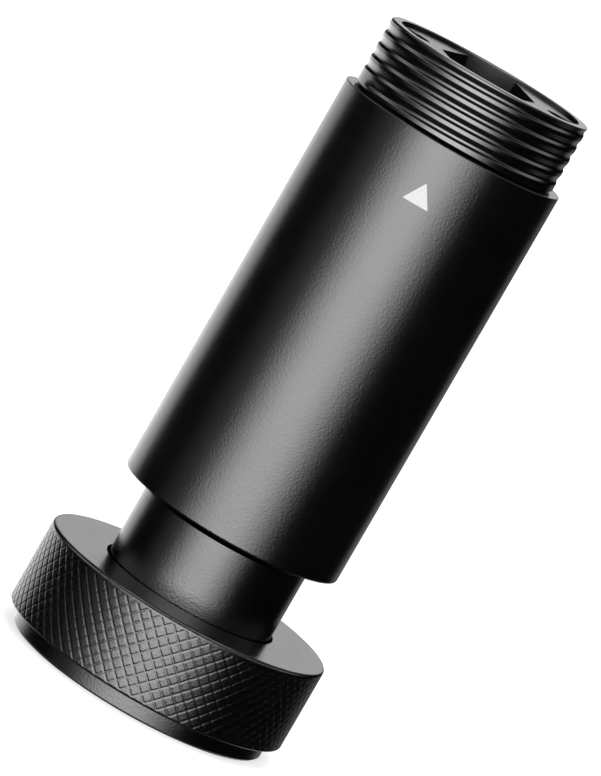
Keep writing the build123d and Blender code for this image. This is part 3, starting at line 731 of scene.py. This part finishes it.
def coil_spring(node, body, low, high, outer, wire, turns, turn=None):
    """A helix of wire about the z axis, moved by a matrix if one is given.

    The middle of the wire is at (r cos 2pi t, r sin 2pi t, height), where t counts the turns and
    the height climbs by end_climb wires in each end turn and evenly between them."""
    radius = outer - wire / 2
    t = np.linspace(0, turns, turns * coil_steps + 1)
    bottom, top = low + wire / 2, high - wire / 2
    heights = [bottom, bottom + end_climb * wire, top - end_climb * wire, top]
    height = np.interp(t, [0, 1, turns - 1, turns], heights)
    out = np.stack([np.cos(2 * pi * t), np.sin(2 * pi * t), 0 * t], 1)
    middle = radius * out + np.stack([0 * t, 0 * t, height], 1)
    along = np.gradient(middle, axis=0)
    along -= (along * out).sum(1, keepdims=True) * out
    along /= np.linalg.norm(along, axis=1, keepdims=True)
    across = np.cross(along, out)
    phi = np.linspace(0, 2 * pi, wire_sides, endpoint=False)[None, :, None]
    tube = middle[:, None] + wire / 2 * (np.cos(phi) * out[:, None] + np.sin(phi) * across[:, None])
    if turn is not None:
        tube = tube @ np.array(turn.to_3x3()).T + np.array(turn.translation)
    faces = grid_faces(len(t), wire_sides, close_rows=False).tolist()
    around = np.arange(wire_sides)
    ends = [around[::-1].tolist(), (around + (len(t) - 1) * wire_sides).tolist()]
    spring = make_piece(node + "_coil", tube, [*faces, *ends], sharp=60)
    spring.data.materials.append(steel)
    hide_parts(node)
    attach(spring, body)


for node, body, wire, turns in (("lens_spring", "root", 0.0006, 7),
                                ("cell_spring", "cover_contact_group", 0.0007, 4)):
    low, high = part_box(node)
    coil_spring(node, body, low.z, high.z, high.x, wire, turns)

low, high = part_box("plunger_spring")
coil_spring("plunger_spring", "root", -high.y, -low.y, high.x, wire=0.0005, turns=5,
            turn=pointing_out(-pi / 2, (low.z + high.z) / 2))
low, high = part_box("detent_spring")
coil_spring("detent_spring", "knob", low.y, high.y, high.x, wire=0.0004, turns=5,
            turn=pointing_out(pi / 2, (low.z + high.z) / 2))

# ---- Screws -------------------------------------------------------------------------------------
# Black oxide steel: two socket set screws that aim the laser from the back of the barrel, four
# screws in the knob's underside, and the slotted plug behind the detent spring.

black_steel = mottled("black_steel", (0.012, 0.012, 0.013), (0.024, 0.024, 0.026),
                      smooth=0.3, rough=0.42, scale=1500, grain=0.000004, metallic=0.6)
dress(black_steel, "adjuster_1", "adjuster_2", "knob_screws", "detent_plug")

# ---- Circuit boards -----------------------------------------------------------------------------
# Glass fibre boards under green solder mask: the laser's driver, the switch's ring of tracks and
# the disc that the cell pushes on.

green_board = mottled("green_board", (0.01, 0.09, 0.035), (0.02, 0.15, 0.06),
                      smooth=0.22, rough=0.34, scale=1400, grain=0.000004)
dress(green_board, "driver_board", "switch_board", "contact_board")

# ---- Black mouldings ----------------------------------------------------------------------------
# Moulded nylon: the cell's sleeve, the lock ring above it, the wiper block, the cover's insulator
# and the chips on the driver board.

moulding = mottled("dark_moulding", (0.014, 0.014, 0.016), (0.026, 0.026, 0.028),
                   smooth=0.42, rough=0.55, scale=2200, grain=0.000008)
dress(moulding, "battery_sleeve", "lock_ring", "wiper_block", "cover_insulator", "driver_parts")

# ---- Battery cell -------------------------------------------------------------------------------
# A lithium cell in plain blue shrink film, which lies a little uneven over the can.

cell_wrap = mottled("cell_wrap", (0.03, 0.09, 0.24), (0.05, 0.13, 0.32),
                    smooth=0.2, rough=0.32, scale=220, grain=0.00002)
dress(cell_wrap, "battery_cell")

# ---- Thrust washer ------------------------------------------------------------------------------
# The white low-friction washer that the knob's hub turns against.

white_plastic = mottled("white_plastic", (0.76, 0.76, 0.74), (0.84, 0.84, 0.82),
                        smooth=0.4, rough=0.52, scale=1300, grain=0.000004)
dress(white_plastic, "thrust_washer")

# ---- Wiring -------------------------------------------------------------------------------------
# A strip of amber flexible circuit from the cell's board to the switch, and two leads in soft
# insulation, red and black, up to the laser's driver.

amber_film = mottled("amber_film", (0.42, 0.17, 0.02), (0.56, 0.25, 0.04),
                     smooth=0.18, rough=0.28, scale=900, grain=0.000003)
red_insulation = mottled("red_insulation", (0.4, 0.014, 0.012), (0.52, 0.024, 0.02),
                         smooth=0.4, rough=0.52, scale=1500, grain=0.000006)
black_insulation = mottled("black_insulation", (0.01, 0.01, 0.01), (0.02, 0.02, 0.02),
                           smooth=0.4, rough=0.52, scale=1500, grain=0.000006)
dress(amber_film, "flex_cable")
dress(red_insulation, "positive_lead")
dress(black_insulation, "negative_lead")

low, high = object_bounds()
boxes = {"cad": [list(cad_low), list(cad_high)], "visual": [list(low), list(high)]}
